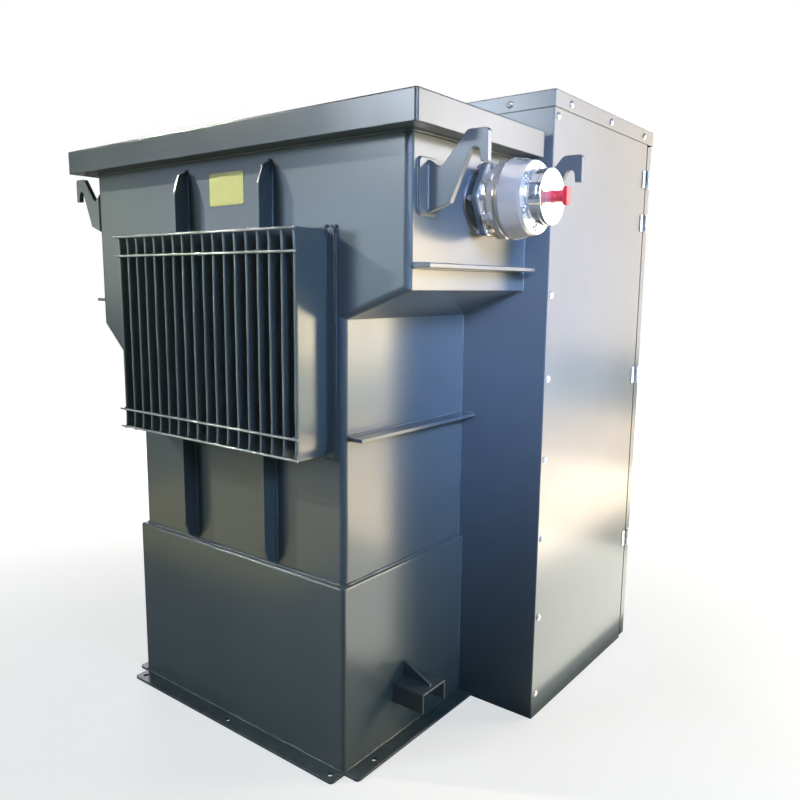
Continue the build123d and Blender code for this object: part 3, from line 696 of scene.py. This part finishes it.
HUB = (UP_X, PRD_Y, PRD_Z)
neck = Piece()
lathe(neck, [(0, -1), (80, -1), (80, 37.4), (0, 37.4)], HUB, AX, 72)
stack(neck, [[at(r * g, a, x) for a, r in hexagon(108.5, 97)] for x, g in ((37, 0.985), (38.5, 1.0), (51.5, 1.0), (53, 0.985))])
neck_ob = neck.make("relief_neck", MATS["grey_paint"], "housing", 30)
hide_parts("relief_base")

clamp = Piece()
stack(clamp, [[at(r * g, a, x) for a, r in hexagon(108, 96.5)] for x, g in ((53.6, 0.99), (54.2, 1.0), (58.5, 1.0), (59.6, 0.985))])
lathe(clamp, [(0, 59), (90.5, 59), (91, 60), (91, 76), (94, 77.5), (99.5, 78.5), (100.5, 80), (100.5, 97), (99.5, 98.5), (96.5, 99.2),
              (96.5, 102), (103.5, 102.8), (105, 104), (105, 109.5), (103.5, 111.7), (0, 111.7)], HUB, AX, 96)
for k in range(6):
    a = 60 * k + 30
    rings = []
    for x, g in ((62, 0.9), (63.5, 1.0), (88, 1.0), (89.5, 0.9)):
        rings.append([at(r, a + da * g, x) for r, da in ((88, -6.0), (103.5 + g, -5.2), (104.5 + g, 0), (103.5 + g, 5.2), (88, 6.0))])
    stack(clamp, rings)
clamp_ob = clamp.make("relief_clamp_ring", SATIN, "housing", 30)
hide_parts("relief_ring")

seal = Piece()
lathe(seal, [(0, 52.6), (95.5, 52.6), (96.5, 53.3), (95.5, 54.0), (0, 54.0)], HUB, AX, 72)
lathe(seal, [(0, 111.2), (103.5, 111.2), (104.3, 111.9), (103.5, 112.6), (0, 112.6)], HUB, AX, 72)
seal.make("relief_gasket", RUBBER, "housing")

bolts = Piece()
for k in range(6):
    hex_head(bolts, at(99, 60 * k, 59.4), AX, 13, 8.5, (8.6, 1.8), 0.3 * k)
    hex_head(bolts, at(99, 60 * k, 37.2), -AX, 13, 9.5, (8.6, 1.8), 0.2 * k)
    lathe(bolts, [(0, 8), (4, 8), (4, 15.5), (3.2, 16.5), (0, 16.5)], at(99, 60 * k, 37.2), -AX, 16)
    button_head(bolts, at(85.5, 60 * k + 26, 179.2), AX, 4.8, 3.2)
bolts.make("relief_bolts", SCREW, "housing")

clips = Piece()
for k in range(6):
    a = 60 * k + 26
    rings = []
    for x, g in ((176.6, 1.0), (178.6, 1.0), (179.4, 0.9)):
        rings.append([at(85.5 + (r - 85.5) * g, a + da * g, x)
                      for da, r in ((-6.5, 76.5), (-7.5, 85.5), (-6.5, 94), (6.5, 94), (7.5, 85.5), (6.5, 76.5))])
    stack(clips, rings)
    rings = []
    for x, g in ((176.6, 1.0), (184.0, 1.0), (185.5, 0.8)):
        rings.append([at(77.4 + (r - 77.4) * g, a + da * g, x) for da, r in ((-4.5, 74.2), (-4.5, 80), (4.5, 80), (4.5, 74.2))])
    stack(clips, rings)
lathe(clips, [(0, 176.5), (76.4, 176.5), (76.4, 180), (75.2, 181.5), (0, 181.5)], HUB, AX, 72)
lathe(clips, [(0, 206), (73.6, 206), (74.6, 207), (74.6, 210.5), (73.6, 211.5), (0, 211.5)], HUB, AX, 72)
clips.make("relief_clips", MATS["polished_steel"], "housing", 30)

pin = Piece()
lathe(pin, [(0, 221.5), (16.5, 221.5), (16.5, 224.5), (15, 226), (15, 235), (13.4, 236.2), (13.4, 239.5), (15, 240.7),
            (15, 256.5), (0, 256.5)], HUB, AX, 48)
rings = []
for x, g in ((254, 0.88), (256, 1.0), (264.5, 1.0), (266.5, 0.94), (267, 0.86)):
    ring = []
    for sy, sz, t0 in ((1, 1, 0), (-1, 1, 90), (-1, -1, 180), (1, -1, 270)):
        for k in range(5):
            t = math.radians(t0 + 90 * k / 4)
            ring.append((UP_X + x, PRD_Y + g * (sy * 6 + 6 * math.cos(t)), PRD_Z + g * (sz * 17.5 + 6 * math.sin(t))))
    rings.append(ring)
stack(pin, rings)
pin_ob = pin.make("indicator_pin", MATS["red_plastic"], "housing", 30)
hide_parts("relief_indicator_pin")

# ------------------------------------------------------------------ screws of the cabinet
screws = Piece()
for s in (1, -1):
    for z in (1926, 1663, 1400, 1140, 881, 618, 350, 80):
        dome_head(screws, (s * CAB_X, 322, z), (s, 0, 0), 11.5, 6.0)
    for y in (402, 712, 1019):
        dome_head(screws, (s * ROOF_X, y, 1973), (s, 0, 0), 11.5, 6.0)
    for x in (622, 212):
        dome_head(screws, (s * x, ROOF_Y0, 1973), (0, -1, 0), 11.5, 6.0)
    for zc in HINGE_Z:
        for dz in (-18, 18):
            button_head(screws, (s * (CAB_X + 3), 1043, zc + dz), (s, 0, 0), 4.6, 2.2)
screws.make("cabinet_screws", SCREW, "housing")
for s, body in ((1, "door_right"), (-1, "door_left")):
    leaf = Piece()
    for zc in HINGE_Z:
        for dz in (-18, 18):
            button_head(leaf, (s * (CAB_X + 3), 1094, zc + dz), (s, 0, 0), 4.6, 2.2)
    if s > 0:
        for z in (986, 1135):
            button_head(leaf, (58, 1115, z), (0, 1, 0), 4.6, 2.4)
    leaf.make(body + "_screws", SCREW, body)

# ------------------------------------------------------------------ floor
g = Piece()
g.add([(-30000, -30000, -0.6), (30000, -30000, -0.6), (30000, 30000, -0.6), (-30000, 30000, -0.6)], [(0, 1, 2, 3)])
me = bpy.data.meshes.new("floor")
me.from_pydata((np.concatenate(g.v) * MM).tolist(), [], g.f)
me.materials.append(floor_mat())
floor = bpy.data.objects.new("floor", me)
scene.collection.objects.link(floor)

# ------------------------------------------------------------------ camera at the photograph's viewing angle
yaw, pitch, roll = (math.radians(a) for a in (38.0738, 8.8767, 0.4808))
fwd = Vector((-math.sin(yaw) * math.cos(pitch), math.cos(yaw) * math.cos(pitch), -math.sin(pitch)))
right = fwd.cross(Vector((0, 0, 1))).normalized()
up = right.cross(fwd)
r2 = math.cos(roll) * right + math.sin(roll) * up
u2 = -math.sin(roll) * right + math.cos(roll) * up
cam = bpy.data.cameras.new("camera")
cam.sensor_fit = "HORIZONTAL"
cam.sensor_width = 36.0
cam.lens = 34.11
cam.shift_x, cam.shift_y = 0.013625, 0.005625
cam.clip_end = 200.0
cam_ob = bpy.data.objects.new("camera", cam)
cam_ob.matrix_world = Matrix((
    (r2.x, u2.x, -fwd.x, 1.8343), (r2.y, u2.y, -fwd.y, -1.8391), (r2.z, u2.z, -fwd.z, 1.4231), (0, 0, 0, 1)))
scene.collection.objects.link(cam_ob)
scene.camera = cam_ob


# ------------------------------------------------------------------ studio light
def area(name, loc, target, sx, sy, radiance, colour, spread=180.0):
    li = bpy.data.lights.new(name, "AREA")
    li.shape = "RECTANGLE"
    li.size, li.size_y = sx, sy
    li.energy = radiance * math.pi * sx * sy
    li.color = colour
    li.spread = math.radians(spread)
    ob = bpy.data.objects.new(name, li)
    ob.location = loc
    ob.rotation_euler = (Vector(target) - Vector(loc)).to_track_quat("-Z", "Y").to_euler()
    ob.visible_camera = False
    scene.collection.objects.link(ob)
    return ob


area("key_right_rear", (6.1, 5.9, 1.55), (0.5, 0.0, 1.4), 2.2, 2.5, 14.4, (1.0, 0.82, 0.53))
area("key_right_rear_high", (5.8, 7.0, 3.7), (0.7, 0.0, 1.8), 2.2, 1.7, 7.8, (1.0, 1.0, 1.0))
area("panel_right_rear", (5.2, 8.8, 2.8), (0.7, 0.5, 1.2), 8.0, 5.0, 3.4, (1.0, 0.86, 0.75))
area("panel_left_low", (-5.6, -6.0, 2.2), (0.0, -0.3, 1.2), 3.0, 1.4, 2.4, (0.45, 0.54, 1.0))
area("panel_left", (-7.0, -4.6, 1.9), (0.0, -0.3, 1.5), 3.0, 1.5, 1.6, (0.90, 1.0, 0.82))
area("panel_front_high", (-4.0, -6.9, 4.0), (0.6, -0.35, 1.8), 1.7, 1.5, 22.0, (0.78, 0.87, 1.0))
area("panel_front", (-4.4, -6.5, 1.9), (0.4, -0.3, 1.5), 2.4, 2.4, 3.3, (0.70, 0.96, 1.0))
area("panel_front_right", (-2.7, -7.6, 3.9), (0.7, 0.2, 1.8), 2.6, 1.8, 1.2, (0.95, 0.96, 1.0))
area("panel_top", (0.3, -0.7, 5.2), (0.3, -0.2, 1.0), 3.0, 3.0, 0.55, (1.0, 0.97, 0.93))
area("key_left", (-4.85, -3.3, 4.35), (-0.05, -0.3, 1.74), 0.25, 0.25, 48.0, (1.0, 0.97, 0.84), 24.0)
area("lamp_relief", (2.6, -2.2, 2.4), (0.84, 0.03, 1.66), 0.7, 0.7, 0.36, (1.0, 0.78, 0.50), 14.0)
area("fill_right", (5.0, -0.6, 2.6), (0.6, 0.2, 1.2), 2.0, 2.0, 5.5, (0.45, 0.82, 1.0))
area("fill_left_rear", (-5.5, 3.6, 3.0), (-0.7, 0.6, 1.1), 3.0, 3.0, 3.0, (0.96, 0.98, 1.0))
area("fill_recess", (2.75, -1.0, 2.3), (0.74, 0.42, 1.32), 1.0, 1.0, 4.8, (0.34, 0.50, 1.0), 34.0)
area("bounce_near", (1.3, 1.15, 0.02), (1.3, 1.15, 1.0), 0.95, 1.9, 2.7, (1.0, 0.96, 0.84))
area("bounce_right", (2.6, 2.6, 0.02), (2.6, 2.6, 1.0), 2.3, 2.6, 8.4, (1.0, 0.82, 0.58))
area("bounce_right_far", (3.2, 5.2, 0.02), (3.2, 5.2, 1.0), 2.7, 2.6, 3.9, (1.0, 0.76, 0.50))
area("bounce_far", (6.8, 6.8, 0.02), (6.8, 6.8, 1.0), 5.0, 6.0, 3.0, (0.72, 1.0, 0.94))
area("bounce_front", (-1.7, -2.1, 0.02), (-1.7, -2.1, 1.0), 2.2, 2.0, 0.95, (1.0, 0.82, 0.25))

world = bpy.data.worlds.new("studio")
scene.world = world
world.use_nodes = True
wt = world.node_tree
wt.nodes.clear()
w_out = wt.nodes.new("ShaderNodeOutputWorld")
w_mix = wt.nodes.new("ShaderNodeMixShader")
w_path = wt.nodes.new("ShaderNodeLightPath")
w_soft = wt.nodes.new("ShaderNodeBackground")
w_seen = wt.nodes.new("ShaderNodeBackground")
w_soft.inputs["Color"].default_value = (0.55, 0.75, 1.0, 1)
w_soft.inputs["Strength"].default_value = 0.03
w_seen.inputs["Color"].default_value = (1, 1, 1, 1)
w_seen.inputs["Strength"].default_value = 1.0
wt.links.new(w_path.outputs["Is Camera Ray"], w_mix.inputs["Fac"])
wt.links.new(w_soft.outputs["Background"], w_mix.inputs[1])
wt.links.new(w_seen.outputs["Background"], w_mix.inputs[2])
wt.links.new(w_mix.outputs["Shader"], w_out.inputs["Surface"])

scene.view_settings.view_transform = "Standard"
